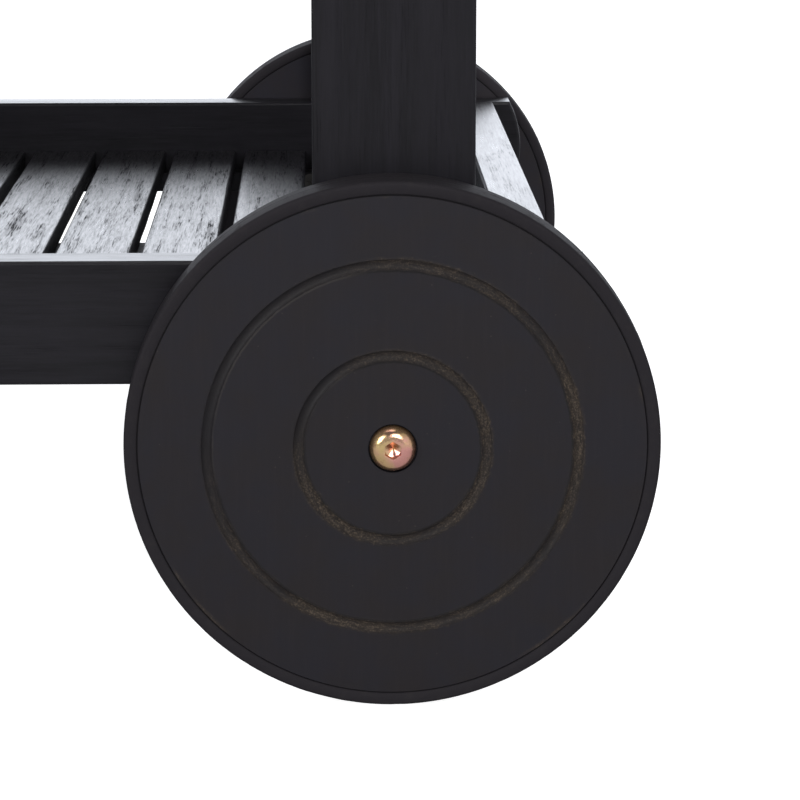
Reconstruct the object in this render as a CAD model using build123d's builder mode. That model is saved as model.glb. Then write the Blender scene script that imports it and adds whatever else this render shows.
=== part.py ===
from build123d import *
import os

# Two-shelf serving cart: slatted shelves in rail frames, two bolted wheels at one end, two legs at
# the other and a push bar past the leg end.
# Frame: X runs along the cart, wheel end at +X. Y runs across it, left side at +Y for someone who
# pushes from the handle. Z is up from the floor. The origin is the middle of the cart's box, on the
# floor. All sizes are in millimetres.

# ---- driving dimensions -------------------------------------------------------------------------

# overall
cart_height = 820.0
frame_width = 502.5

# frame stock
rail_thickness = 20.0
rail_height = 47.1
post_width = 60.8
arris = 1.5
lap_depth = 10.0

# places of the rails and posts
shelf_above_axle = 18.9
post_setback = 13.0
post_lead = 1.1
rail_overhang = 14.6
nose_bulge = 5.8

# slats and what carries them
slat_count = 15
slat_width = 31.7
slat_gap = 5.2
slat_thickness = 10.0
slat_arris = 1.2
ledger_width = 12.0
ledger_height = 9.5
ledger_reveal = 2.3
batten_width = 38.0
ledger_screw_slats = (1, 5, 9, 13)

# handle
bar_diameter = 25.0
bar_end_chamfer = 1.0
finger_gap = 62.0
socket_depth = 10.0

# wheels
wheel_diameter = 200.0
wheel_width = 23.4
tyre_thickness = 5.2
tyre_edge_radius = 1.4
rim_chamfer = 0.6
groove_radii = (35.0, 69.0)
groove_width = 4.0
groove_depth = 1.1
hub_recess_radius = 9.2
hub_recess_depth = 2.0
bush_radius = 7.0

# axle bolt, washers and lock nut
axle_radius = 5.0
axle_head_radius = 8.6
axle_head_height = 5.5
axle_head_rim = 1.0
axle_head_flat = 3.9
axle_dome_reach = 0.66
axle_dome_rise = 0.74
axle_hex = 6.0
axle_hex_depth = 3.0
axle_cone_tip_radius = 0.1
axle_tip = 2.5
washer_radius = 14.0
washer_thickness = 2.5
nut_width = 17.0
nut_height = 7.5
nut_collar_height = 2.5
nut_collar_radius = 7.4

# connector bolts and their barrel nuts
bolt_radius = 3.0
bolt_head_radius = 6.5
bolt_head_height = 2.5
bolt_head_taper = 12.0
bolt_hex = 4.0
bolt_hex_depth = 1.6
bolt_tip = 2.0
barrel_radius = 5.0
barrel_length = 14.0
barrel_setback = 30.0

# wood screws
screw_radius = 2.0
screw_head_radius = 4.0
screw_head_angle = 90.0
screw_length = 16.0
screw_slot_width = 1.0
screw_slot_depth = 1.2
lap_screw_spread = 15.0

# leg glides
glide_radius = 9.0
glide_height = 4.0
glide_edge_radius = 1.0
glide_stem_radius = 3.5
glide_stem_length = 14.0

# ---- clearances ---------------------------------------------------------------------------------

joint_clearance = 0.1
press_clearance = 0.05
running_clearance = 0.06
wheel_play = 0.35
slat_end_clearance = 0.25
hole_clearance = 0.2

# ---- derived places -----------------------------------------------------------------------------

wheel_radius = wheel_diameter / 2
disc_radius = wheel_radius - tyre_thickness
bar_radius = bar_diameter / 2
inner_length = slat_count * (slat_width + slat_gap) + slat_gap
inner_width = frame_width - 2 * rail_thickness
half_width = frame_width / 2
half_inner = inner_width / 2
half_rail = rail_height / 2
lap_remainder = rail_thickness - lap_depth
half_post = post_width / 2

# distances along X from the axle, forward and backward
end_rail_ahead = post_lead + half_post + post_setback
nose_ahead = end_rail_ahead + rail_thickness + rail_overhang
leg_rail_behind = inner_length - end_rail_ahead
bar_behind = leg_rail_behind + rail_thickness + finger_gap + bar_radius
tip_behind = bar_behind + half_rail
front_reach = max(wheel_radius, nose_ahead)

axle_x = (tip_behind - front_reach) / 2
axle_z = wheel_radius
front_inner_x = axle_x + end_rail_ahead
back_inner_x = axle_x - leg_rail_behind
nose_x = axle_x + nose_ahead
tail_x = back_inner_x - rail_thickness - rail_overhang
bar_x = axle_x - bar_behind
end_rail_x = {
    "front": front_inner_x + rail_thickness / 2,
    "back": back_inner_x - rail_thickness / 2,
}
wheel_post_x = axle_x + post_lead
leg_post_x = back_inner_x + post_setback + half_post
post_x = (wheel_post_x, leg_post_x)

# heights of each shelf's rail underside
shelf_z = {
    "lower": axle_z + shelf_above_axle,
    "upper": cart_height - rail_height,
}
slat_base_above_rail = ledger_reveal + ledger_height

slat_x = [
    front_inner_x - slat_gap - slat_width / 2 - index * (slat_width + slat_gap)
    for index in range(slat_count)
]
ledger_screw_x = [slat_x[index] - (slat_width + slat_gap) / 2 for index in ledger_screw_slats]
ledger_y = half_inner - ledger_width / 2
batten_y = -batten_width / 2
lap_screw_x = [x + step for x in post_x for step in (-lap_screw_spread, lap_screw_spread)]
lap_screw_above_rail = slat_base_above_rail + slat_thickness / 2

# stack along the axle, as distances from the cart's middle plane
wheel_inner_y = half_width + washer_thickness + wheel_play
wheel_outer_y = wheel_inner_y + wheel_width
recess_y = wheel_outer_y - hub_recess_depth
axle_head_y = recess_y + wheel_play
nut_outer_y = half_inner - washer_thickness
axle_end_y = nut_outer_y - nut_height - nut_collar_height - axle_tip

sides = {"left": 1, "right": -1}


def node(part, name):
    """Label one finished piece and write it as its own STEP file."""
    part.label = name
    export_step(part, f"parts/{name}.step")


def facing(x, y, z, normal):
    """Plane whose Z axis is the outward normal of the face that a hole starts from."""
    return Plane(origin=(x, y, z), z_dir=normal)


def across(y):
    """Upright plane square to Y at the given place, local axes along X and Z, facing -Y."""
    return Plane.XZ.offset(-y)


def screw_hole(depth=screw_length):
    """Countersunk hole for a wood screw, from the current location inwards."""
    CounterSinkHole(
        radius=screw_radius + press_clearance,
        counter_sink_radius=screw_head_radius + joint_clearance,
        depth=depth,
        counter_sink_angle=screw_head_angle,
    )


def pilot_hole(through):
    """Blind hole for the rest of a screw that has already passed through a piece."""
    Hole(radius=screw_radius + press_clearance, depth=screw_length - through + joint_clearance)


os.makedirs("parts", exist_ok=True)

# ---- side rails ---------------------------------------------------------------------------------
# Each is a board on edge with a bowed nose at the wheel end. The lower pair has the same nose at the
# leg end; the upper pair runs on to a half-round end that holds the bar. Their outer half is cut away
# where a post crosses, so that post and rail are flush.

for shelf, base_z in shelf_z.items():
    for side, sign in sides.items():
        outer_y = sign * half_width
        inner_y = sign * half_inner
        top_z = base_z + rail_height
        mid_z = base_z + half_rail
        with BuildPart() as side_rail:
            with BuildSketch(across(max(outer_y, inner_y))):
                with BuildLine():
                    shoulder = nose_x - nose_bulge
                    ThreePointArc((shoulder, base_z), (nose_x, mid_z), (shoulder, top_z))
                    if shelf == "upper":
                        Line((shoulder, top_z), (bar_x, top_z))
                        ThreePointArc((bar_x, top_z), (bar_x - half_rail, mid_z), (bar_x, base_z))
                        Line((bar_x, base_z), (shoulder, base_z))
                    else:
                        heel = tail_x + nose_bulge
                        Line((shoulder, top_z), (heel, top_z))
                        ThreePointArc((heel, top_z), (tail_x, mid_z), (heel, base_z))
                        Line((heel, base_z), (shoulder, base_z))
                make_face()
            extrude(amount=rail_thickness)
            rim = side_rail.faces().filter_by(Axis.Y).edges()
            fillet(rim, radius=arris)
            with Locations(*[(x, outer_y - sign * lap_depth / 2, mid_z) for x in post_x]):
                Box(
                    post_width + 2 * joint_clearance,
                    lap_depth,
                    rail_height + 2 * arris,
                    mode=Mode.SUBTRACT,
                )
            with Locations(*[facing(x, outer_y, mid_z, (0, sign, 0)) for x in end_rail_x.values()]):
                Hole(radius=bolt_radius + hole_clearance, depth=rail_thickness)
            lap_screw_z = base_z + lap_screw_above_rail
            with Locations(*[facing(x, inner_y, lap_screw_z, (0, -sign, 0)) for x in lap_screw_x]):
                screw_hole(depth=lap_remainder)
            ledger_mid_z = base_z + ledger_reveal + ledger_height / 2
            with Locations(*[facing(x, inner_y, ledger_mid_z, (0, -sign, 0)) for x in ledger_screw_x]):
                pilot_hole(through=ledger_width)
            if shelf == "upper":
                with Locations(facing(bar_x, inner_y, mid_z, (0, -sign, 0))):
                    Hole(radius=bar_radius + press_clearance, depth=socket_depth)
        node(side_rail.part, f"{shelf}_rail_{side}")

# ---- end rails ----------------------------------------------------------------------------------
# They butt between the side rails with all tops level. A connector bolt enters each end and meets a
# barrel nut set up from the underside.

for shelf, base_z in shelf_z.items():
    for end, x in end_rail_x.items():
        with BuildPart() as end_rail:
            with Locations((x, 0, base_z + half_rail)):
                Box(rail_thickness, inner_width, rail_height)
            fillet(end_rail.edges().filter_by(Axis.Y), radius=arris)
            ends = [facing(x, sign * half_inner, base_z + half_rail, (0, sign, 0)) for sign in sides.values()]
            with Locations(*ends):
                Hole(
                    radius=bolt_radius + hole_clearance,
                    depth=barrel_setback + barrel_radius + bolt_tip + hole_clearance,
                )
            undersides = [
                facing(x, sign * (half_inner - barrel_setback), base_z, (0, 0, -1)) for sign in sides.values()
            ]
            with Locations(*undersides):
                Hole(
                    radius=barrel_radius + press_clearance,
                    depth=half_rail + barrel_length / 2 + joint_clearance,
                )
        node(end_rail.part, f"{shelf}_end_rail_{end}")

# ---- ledgers and battens ------------------------------------------------------------------------
# Ledger strips carry the slat ends along both side rails. One batten ties the slats together beside
# the middle of the shelf. Both lie under the slats, which are screwed to them from below.

for shelf, base_z in shelf_z.items():
    strip_z = base_z + ledger_reveal
    strip_x = (front_inner_x + back_inner_x) / 2
    strip_length = inner_length - 2 * joint_clearance
    with BuildPart() as ledgers:
        for sign in sides.values():
            y = sign * ledger_y
            open_y = sign * (half_inner - ledger_width)
            with Locations((strip_x, y, strip_z + ledger_height / 2)):
                Box(strip_length, ledger_width, ledger_height)
            with Locations(*[facing(slat, y, strip_z, (0, 0, -1)) for slat in slat_x]):
                screw_hole(depth=ledger_height)
            openings = [
                facing(x, open_y, strip_z + ledger_height / 2, (0, -sign, 0)) for x in ledger_screw_x
            ]
            with Locations(*openings):
                screw_hole(depth=ledger_width)
    node(ledgers.part, f"{shelf}_ledgers")
    with BuildPart() as batten:
        with Locations((strip_x, batten_y, strip_z + ledger_height / 2)):
            Box(strip_length, batten_width, ledger_height)
        with Locations(*[facing(slat, batten_y, strip_z, (0, 0, -1)) for slat in slat_x]):
            screw_hole(depth=ledger_height)
    node(batten.part, f"{shelf}_batten")

# ---- slats --------------------------------------------------------------------------------------

for shelf, base_z in shelf_z.items():
    slat_base = base_z + slat_base_above_rail
    for index, x in enumerate(slat_x):
        with BuildPart() as slat:
            with Locations((x, 0, slat_base + slat_thickness / 2)):
                Box(slat_width, inner_width - 2 * slat_end_clearance, slat_thickness)
            fillet(slat.edges().filter_by(Axis.Y), radius=slat_arris)
            feet = [facing(x, y, slat_base, (0, 0, -1)) for y in (-ledger_y, batten_y, ledger_y)]
            with Locations(*feet):
                pilot_hole(through=ledger_height)
        node(slat.part, f"{shelf}_slat_{index + 1:02d}")

# ---- posts --------------------------------------------------------------------------------------
# Flat boards whose inner half is cut away where a side rail crosses. A wheel post ends in a half
# round below its axle hole; a leg post goes down to its glide.

for side, sign in sides.items():
    outer_y = sign * half_width
    inner_y = sign * half_inner
    for foot, x in (("wheel", wheel_post_x), ("leg", leg_post_x)):
        with BuildPart() as post:
            with BuildSketch(across(max(outer_y, inner_y))):
                with BuildLine():
                    Line((x - half_post, cart_height), (x + half_post, cart_height))
                    if foot == "wheel":
                        right, left = (x + half_post, axle_z), (x - half_post, axle_z)
                        Line((x + half_post, cart_height), right)
                        ThreePointArc(right, (x, axle_z - half_post), left)
                        Line(left, (x - half_post, cart_height))
                    else:
                        Line((x + half_post, cart_height), (x + half_post, glide_height))
                        Line((x + half_post, glide_height), (x - half_post, glide_height))
                        Line((x - half_post, glide_height), (x - half_post, cart_height))
                make_face()
            extrude(amount=rail_thickness)
            rim = post.faces().filter_by(Axis.Y).edges()
            fillet(rim, radius=arris)
            for shelf, base_z in shelf_z.items():
                lap_height = rail_height + 2 * joint_clearance
                with Locations((x, inner_y + sign * lap_remainder / 2, base_z + half_rail)):
                    Box(post_width, lap_remainder, lap_height, mode=Mode.SUBTRACT)
                lap_floor_y = inner_y + sign * lap_remainder
                lap_screw_z = base_z + lap_screw_above_rail
                starts = [
                    facing(x + step, lap_floor_y, lap_screw_z, (0, -sign, 0))
                    for step in (-lap_screw_spread, lap_screw_spread)
                ]
                with Locations(*starts):
                    pilot_hole(through=lap_remainder)
            if foot == "wheel":
                with Locations(facing(axle_x, outer_y, axle_z, (0, sign, 0))):
                    Hole(radius=axle_radius + hole_clearance, depth=rail_thickness)
            else:
                mid_y = (outer_y + inner_y) / 2
                with Locations(facing(x, mid_y, glide_height, (0, 0, -1))):
                    Hole(
                        radius=glide_stem_radius + press_clearance,
                        depth=glide_stem_length + joint_clearance,
                    )
        node(post.part, f"{foot}_post_{side}")

# ---- handle bar ---------------------------------------------------------------------------------

with BuildPart() as handle_bar:
    bar_length = inner_width + 2 * (socket_depth - joint_clearance)
    with BuildSketch(across(bar_length / 2)):
        with Locations((bar_x, shelf_z["upper"] + half_rail)):
            Circle(bar_radius)
    extrude(amount=bar_length)
    chamfer(handle_bar.edges().filter_by(GeomType.CIRCLE), length=bar_end_chamfer)
node(handle_bar.part, "handle_bar")

# ---- wheels -------------------------------------------------------------------------------------
# Each is a turned wooden disc with two round-bottomed grooves in its outer face, a rubber band
# stretched round it and a plain bush that turns on the axle bolt.

for side, sign in sides.items():
    outward = (0, sign, 0)
    with BuildPart() as disc:
        with BuildSketch(facing(axle_x, sign * wheel_inner_y, axle_z, outward)):
            Circle(disc_radius)
        extrude(amount=wheel_width)
        chamfer(disc.edges().filter_by(GeomType.CIRCLE), length=rim_chamfer)
        with Locations(facing(axle_x, sign * wheel_outer_y, axle_z, outward)):
            CounterBoreHole(
                radius=bush_radius + press_clearance,
                counter_bore_radius=hub_recess_radius,
                counter_bore_depth=hub_recess_depth,
                depth=wheel_width,
            )
            for radius in groove_radii:
                cutter_radius = (groove_width**2 / 4 + groove_depth**2) / (2 * groove_depth)
                with Locations((0, 0, cutter_radius - groove_depth)):
                    Torus(radius, cutter_radius, mode=Mode.SUBTRACT)
    node(disc.part, f"wheel_disc_{side}")

    with BuildPart() as tyre:
        with BuildSketch(facing(axle_x, sign * wheel_inner_y, axle_z, outward)):
            Circle(wheel_radius)
            Circle(disc_radius + press_clearance, mode=Mode.SUBTRACT)
        extrude(amount=wheel_width)
        bead_edges = tyre.edges().filter_by(GeomType.CIRCLE).group_by(SortBy.RADIUS)[0]
        chamfer(bead_edges, length=rim_chamfer / 2)
        tread_edges = tyre.edges().filter_by(GeomType.CIRCLE).group_by(SortBy.RADIUS)[-1]
        fillet(tread_edges, radius=tyre_edge_radius)
    node(tyre.part, f"tyre_{side}")

    with BuildPart() as bush:
        with BuildSketch(facing(axle_x, sign * wheel_inner_y, axle_z, outward)):
            Circle(bush_radius)
            Circle(axle_radius + running_clearance, mode=Mode.SUBTRACT)
        extrude(amount=wheel_width - hub_recess_depth)
    node(bush.part, f"hub_bush_{side}")

# ---- axle bolts, washers and nuts ---------------------------------------------------------------
# Button-head bolts with a drilled hexagon socket. Each passes through its wheel, a washer, the post
# and a second washer into a lock nut with a nylon collar.

with BuildPart() as axle_bolts:
    for sign in sides.values():
        outward = (0, sign, 0)
        head_plane = facing(axle_x, sign * axle_head_y, axle_z, outward)
        with BuildSketch(Plane(origin=head_plane.origin, x_dir=(1, 0, 0), z_dir=(0, 0, 1))):
            with BuildLine():
                rim_y = sign * axle_head_rim
                crown_y = sign * axle_head_height
                bend_y = sign * (axle_head_rim + (axle_head_height - axle_head_rim) * axle_dome_rise)
                bend_x = axle_head_flat + (axle_head_radius - axle_head_flat) * axle_dome_reach
                Line((0, 0), (axle_head_radius, 0))
                Line((axle_head_radius, 0), (axle_head_radius, rim_y))
                ThreePointArc((axle_head_radius, rim_y), (bend_x, bend_y), (axle_head_flat, crown_y))
                Line((axle_head_flat, crown_y), (0, crown_y))
                Line((0, crown_y), (0, 0))
            make_face()
        revolve(axis=Axis((axle_x, 0, axle_z), (0, 1, 0)))
        with BuildSketch(head_plane):
            Circle(axle_radius)
        extrude(amount=-(axle_head_y - axle_end_y))
        with BuildSketch(head_plane.offset(axle_head_height)):
            RegularPolygon(axle_hex / 2, side_count=6, major_radius=False)
        extrude(amount=-axle_hex_depth, mode=Mode.SUBTRACT)
        with Locations(head_plane.offset(axle_head_height - axle_hex_depth)):
            Cone(
                bottom_radius=axle_cone_tip_radius,
                top_radius=axle_hex / 2,
                height=axle_hex / 4,
                align=(Align.CENTER, Align.CENTER, Align.MAX),
                mode=Mode.SUBTRACT,
            )
node(axle_bolts.part, "axle_bolts")

with BuildPart() as axle_washers:
    for sign in sides.values():
        for start_y in (half_width, nut_outer_y):
            with BuildSketch(facing(axle_x, sign * start_y, axle_z, (0, sign, 0))):
                Circle(washer_radius)
                Circle(axle_radius + hole_clearance, mode=Mode.SUBTRACT)
            extrude(amount=washer_thickness)
node(axle_washers.part, "axle_washers")

with BuildPart() as axle_nuts:
    for sign in sides.values():
        nut_plane = facing(axle_x, sign * nut_outer_y, axle_z, (0, sign, 0))
        with BuildSketch(nut_plane):
            RegularPolygon(nut_width / 2, side_count=6, major_radius=False)
            Circle(axle_radius + press_clearance, mode=Mode.SUBTRACT)
        extrude(amount=-nut_height)
        with BuildSketch(nut_plane.offset(-nut_height)):
            Circle(nut_collar_radius)
            Circle(axle_radius + press_clearance, mode=Mode.SUBTRACT)
        extrude(amount=-nut_collar_height)
node(axle_nuts.part, "axle_nuts")

# ---- connector bolts and barrel nuts ------------------------------------------------------------

with BuildPart() as connector_bolts:
    for base_z in shelf_z.values():
        for x in end_rail_x.values():
            for sign in sides.values():
                seat = facing(x, sign * half_width, base_z + half_rail, (0, sign, 0))
                with BuildSketch(seat):
                    Circle(bolt_head_radius)
                extrude(amount=bolt_head_height, taper=bolt_head_taper)
                with BuildSketch(seat):
                    Circle(bolt_radius)
                extrude(amount=-(rail_thickness + barrel_setback + barrel_radius + bolt_tip))
                with BuildSketch(seat.offset(bolt_head_height)):
                    RegularPolygon(bolt_hex / 2, side_count=6, major_radius=False)
                extrude(amount=-bolt_hex_depth, mode=Mode.SUBTRACT)
node(connector_bolts.part, "connector_bolts")

with BuildPart() as barrel_nuts:
    for base_z in shelf_z.values():
        for x in end_rail_x.values():
            for sign in sides.values():
                y = sign * (half_inner - barrel_setback)
                with BuildSketch(Plane.XY.offset(base_z + half_rail - barrel_length / 2)):
                    with Locations((x, y)):
                        Circle(barrel_radius)
                extrude(amount=barrel_length)
                with Locations(facing(x, y + sign * barrel_radius, base_z + half_rail, (0, sign, 0))):
                    Hole(radius=bolt_radius + press_clearance, depth=2 * barrel_radius)
node(barrel_nuts.part, "barrel_nuts")

# ---- wood screws --------------------------------------------------------------------------------
# One size of countersunk screw holds the laps, the ledgers, the slats and the battens.

with BuildPart() as wood_screw:
    neck_depth = screw_head_radius - screw_radius
    with BuildSketch(Plane.XZ):
        with BuildLine():
            Polyline(
                (0, 0),
                (screw_head_radius, 0),
                (screw_radius, -neck_depth),
                (screw_radius, screw_radius - screw_length),
                (0, -screw_length),
                close=True,
            )
        make_face()
    revolve(axis=Axis.Z)
    with BuildSketch():
        Rectangle(screw_head_radius, screw_slot_width)
        Rectangle(screw_slot_width, screw_head_radius)
    extrude(amount=-screw_slot_depth, mode=Mode.SUBTRACT)

screw_seats = []
for base_z in shelf_z.values():
    strip_z = base_z + ledger_reveal
    for x in slat_x:
        screw_seats += [facing(x, y, strip_z, (0, 0, -1)) for y in (-ledger_y, batten_y, ledger_y)]
    for sign in sides.values():
        open_y = sign * (half_inner - ledger_width)
        ledger_mid_z = strip_z + ledger_height / 2
        screw_seats += [facing(x, open_y, ledger_mid_z, (0, -sign, 0)) for x in ledger_screw_x]
        lap_z = base_z + lap_screw_above_rail
        screw_seats += [facing(x, sign * half_inner, lap_z, (0, -sign, 0)) for x in lap_screw_x]
with BuildPart() as wood_screws:
    with Locations(*screw_seats):
        add(wood_screw.part)
node(wood_screws.part, "wood_screws")

# ---- leg glides ---------------------------------------------------------------------------------

with BuildPart() as leg_glides:
    for sign in sides.values():
        mid_y = sign * (half_width - rail_thickness / 2)
        with BuildSketch(Plane.XY.offset(glide_height)):
            with Locations((leg_post_x, mid_y)):
                Circle(glide_radius)
        extrude(amount=-glide_height)
        with BuildSketch(Plane.XY.offset(glide_height)):
            with Locations((leg_post_x, mid_y)):
                Circle(glide_stem_radius)
        extrude(amount=glide_stem_length)
    fillet(leg_glides.faces().group_by(Axis.Z)[0].edges(), radius=glide_edge_radius)
node(leg_glides.part, "leg_glides")
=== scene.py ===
"""Finishes and studio for the two-shelf serving cart: black stained hardwood, rubber-tyred wooden
wheels on yellow zinc bolts, on a plain pale floor."""

import logging
import math
from dataclasses import dataclass
from enum import Enum
from typing import ClassVar, Dict, List, Optional, Sequence, Tuple, Union

import bpy
import numpy as np
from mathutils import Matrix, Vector


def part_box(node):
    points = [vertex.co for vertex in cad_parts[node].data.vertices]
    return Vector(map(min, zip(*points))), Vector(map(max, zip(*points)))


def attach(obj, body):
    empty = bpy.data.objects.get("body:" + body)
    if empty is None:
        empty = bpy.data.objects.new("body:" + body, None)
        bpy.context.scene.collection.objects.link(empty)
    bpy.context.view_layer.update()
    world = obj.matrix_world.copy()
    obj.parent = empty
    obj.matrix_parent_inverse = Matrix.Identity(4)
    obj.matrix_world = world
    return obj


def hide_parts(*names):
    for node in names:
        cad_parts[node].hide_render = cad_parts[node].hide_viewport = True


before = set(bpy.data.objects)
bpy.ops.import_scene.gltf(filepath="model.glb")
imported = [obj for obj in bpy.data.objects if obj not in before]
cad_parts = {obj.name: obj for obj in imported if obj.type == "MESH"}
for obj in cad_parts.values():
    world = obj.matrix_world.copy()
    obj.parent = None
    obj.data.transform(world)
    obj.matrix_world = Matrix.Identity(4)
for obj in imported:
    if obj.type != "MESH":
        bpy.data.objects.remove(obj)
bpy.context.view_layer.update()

log = logging.getLogger("cart")
logging.basicConfig(level=logging.INFO, format="%(name)s: %(message)s")

MM = 0.001  # a millimetre in metres
Number = Union[int, float]
Colour = Tuple[float, float, float]
WHITE: Colour = (1.0, 1.0, 1.0)


class Grain(Enum):
    """Which way the fibres of a board run, as the number of the axis that they follow."""

    ALONG_X = 0
    ALONG_Y = 1
    ALONG_Z = 2

    def stretch(self, pace: float) -> Colour:
        """Factors along X, Y and Z that change a pattern's pace along the fibres only."""
        return tuple(pace if axis == self.value else 1.0 for axis in range(3))


@dataclass(frozen=True)
class Pattern:
    """One noise pattern of a finish.

    Attributes:
        scale: features per metre.
        detail: how many finer layers are added.
        roughness: how strong the finer layers are.
        distortion: how far the pattern is bent.
        along: factor on its pace along the fibres; below 1 draws it out, above 1 packs it.
    """

    scale: float
    detail: float = 2.0
    roughness: float = 0.5
    distortion: float = 0.0
    along: float = 1.0


# ---- shader graph -------------------------------------------------------------------------------


class Sock:
    """One output socket of a shader graph. Arithmetic on it adds Math nodes."""

    def __init__(self, graph: "Graph", socket: bpy.types.NodeSocket) -> None:
        """Keep the socket and the graph it belongs to."""
        self.graph = graph
        self.socket = socket

    def math(self, operation: str, *others: Union["Sock", Number]) -> "Sock":
        """Apply a Math node to this value and the others, in that order."""
        return self.graph.maths(operation, self, *others)

    def __add__(self, other: Union["Sock", Number]) -> "Sock":
        """Sum."""
        return self.math("ADD", other)

    __radd__ = __add__

    def __sub__(self, other: Union["Sock", Number]) -> "Sock":
        """Difference."""
        return self.math("SUBTRACT", other)

    def __rsub__(self, other: Number) -> "Sock":
        """Difference from a number."""
        return self.graph.maths("SUBTRACT", other, self)

    def __mul__(self, other: Union["Sock", Number]) -> "Sock":
        """Product."""
        return self.math("MULTIPLY", other)

    __rmul__ = __mul__

    def __truediv__(self, other: Union["Sock", Number]) -> "Sock":
        """Quotient."""
        return self.math("DIVIDE", other)

    def __abs__(self) -> "Sock":
        """Absolute value."""
        return self.math("ABSOLUTE")


Value = Union[Sock, Number, Sequence[float]]


class Graph:
    """Node tree of a material or world, with one method that makes any node."""

    def __init__(self, tree: bpy.types.NodeTree) -> None:
        """Clear the tree and start afresh."""
        tree.nodes.clear()
        self.tree = tree

    def node(self, kind: str, settings: Optional[Dict] = None, inputs: Optional[Dict] = None,
             output: Union[int, str] = 0) -> Sock:
        """Make one node.

        Args:
            kind: the node's type name, without the ShaderNode prefix.
            settings: attributes set first; "stops" holds a colour ramp's places and colours.
            inputs: values or sockets, by input name or index.
            output: which output the result wraps.

        Returns:
            The chosen output socket.
        """
        made = self.tree.nodes.new("ShaderNode" + kind)
        for key, value in (settings or {}).items():
            if key == "stops":
                self._set_stops(made.color_ramp, value)
            else:
                setattr(made, key, value)
        for key, value in (inputs or {}).items():
            if isinstance(value, Sock):
                self.tree.links.new(value.socket, made.inputs[key])
            else:
                made.inputs[key].default_value = value
        return Sock(self, made.outputs[output]) if len(made.outputs) else Sock(self, None)

    @staticmethod
    def _set_stops(ramp: bpy.types.ColorRamp, stops: Sequence[Tuple[float, Colour]]) -> None:
        """Give a colour ramp exactly these stops."""
        while len(ramp.elements) < len(stops):
            ramp.elements.new(0.5)
        for element, (place, colour) in zip(ramp.elements, stops):
            element.position = place
            element.color = (*colour, 1.0)

    def maths(self, operation: str, *values: Union[Sock, Number]) -> Sock:
        """One Math node on the values, in order."""
        return self.node("Math", {"operation": operation}, dict(enumerate(values)))

    def vector(self, operation: str, *values: Union[Sock, Sequence[float]], output: str = "Vector") -> Sock:
        """One Vector Math node on the values, in order."""
        return self.node("VectorMath", {"operation": operation}, dict(enumerate(values)), output)

    def stretch(self, vector: Sock, factors: Sequence[float]) -> Sock:
        """Multiply a vector by three factors."""
        return self.vector("MULTIPLY", vector, tuple(factors))

    def part(self, vector: Sock, axis: str) -> Sock:
        """One of a vector's parts, "X", "Y" or "Z"."""
        return self.node("SeparateXYZ", {}, {"Vector": vector}, axis)

    def place(self, offset: Sequence[float]) -> Sock:
        """Object coordinates, moved by an offset."""
        return self.vector("ADD", self.node("TexCoord", {}, {}, "Object"), tuple(offset))

    def place_from(self, centre: Sequence[float]) -> Sock:
        """Object coordinates, counted from a centre."""
        return self.place([-c for c in centre])

    def noise(self, vector: Sock, pattern: Pattern) -> Sock:
        """Smooth noise from 0 to 1."""
        return self.node(
            "TexNoise",
            {"noise_dimensions": "3D"},
            {"Vector": vector, "Scale": pattern.scale, "Detail": pattern.detail,
             "Roughness": pattern.roughness, "Distortion": pattern.distortion},
        )

    def grown(self, place: Sock, grain: Grain, pattern: Pattern) -> Sock:
        """Noise drawn out or packed along the fibres."""
        return self.noise(self.stretch(place, grain.stretch(pattern.along)), pattern)

    def cells(self, vector: Sock, scale: float) -> Sock:
        """Distance to the nearest centre of Voronoi cells."""
        return self.node(
            "TexVoronoi",
            {"voronoi_dimensions": "3D", "feature": "F1"},
            {"Vector": vector, "Scale": scale},
            "Distance",
        )

    def band(self, value: Sock, low: float, high: float,
             to_low: float = 0.0, to_high: float = 1.0) -> Sock:
        """Smooth step of a value from one range to another, clamped."""
        return self.node(
            "MapRange",
            {"interpolation_type": "SMOOTHSTEP"},
            {"Value": value, "From Min": low, "From Max": high, "To Min": to_low, "To Max": to_high},
        )

    def line(self, distance: Sock, solid: float, gone: float) -> Sock:
        """Line that is solid up to one distance from its middle and gone at another."""
        return 1.0 - self.band(abs(distance), solid, gone)

    def blend(self, factor: Value, first: Value, second: Value) -> Sock:
        """Mix two colours."""
        return self.node(
            "Mix",
            {"data_type": "RGBA", "blend_type": "MIX"},
            {0: factor, 6: rgba(first), 7: rgba(second)},
            2,
        )

    def bump(self, height: Sock, distance: float, normal: Optional[Sock] = None) -> Sock:
        """Normal from a height pattern, optionally on top of another normal."""
        inputs = {"Strength": 1.0, "Distance": distance, "Height": height}
        if normal is not None:
            inputs["Normal"] = normal
        return self.node("Bump", {}, inputs)

    def principled(self, inputs: Dict) -> Sock:
        """Principled shader with these values and links."""
        return self.node("BsdfPrincipled", {}, inputs)


def scaled(colour: Colour, factor: float) -> Colour:
    """Colour made lighter or darker by a factor."""
    return tuple(c * factor for c in colour)


def rgba(colour: Value) -> Value:
    """Colour with an alpha of 1; a socket passes through."""
    return colour if isinstance(colour, Sock) else (*colour, 1.0)


def new_material(name: str) -> Tuple[bpy.types.Material, Graph]:
    """Empty node material and its graph."""
    material = bpy.data.materials.new(name)
    material.use_nodes = True
    return material, Graph(material.node_tree)


def output_surface(graph: Graph, shader: Sock) -> None:
    """Connect a shader to the material's surface."""
    graph.node("OutputMaterial", {}, {"Surface": shader})


# ---- finishes -----------------------------------------------------------------------------------


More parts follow.
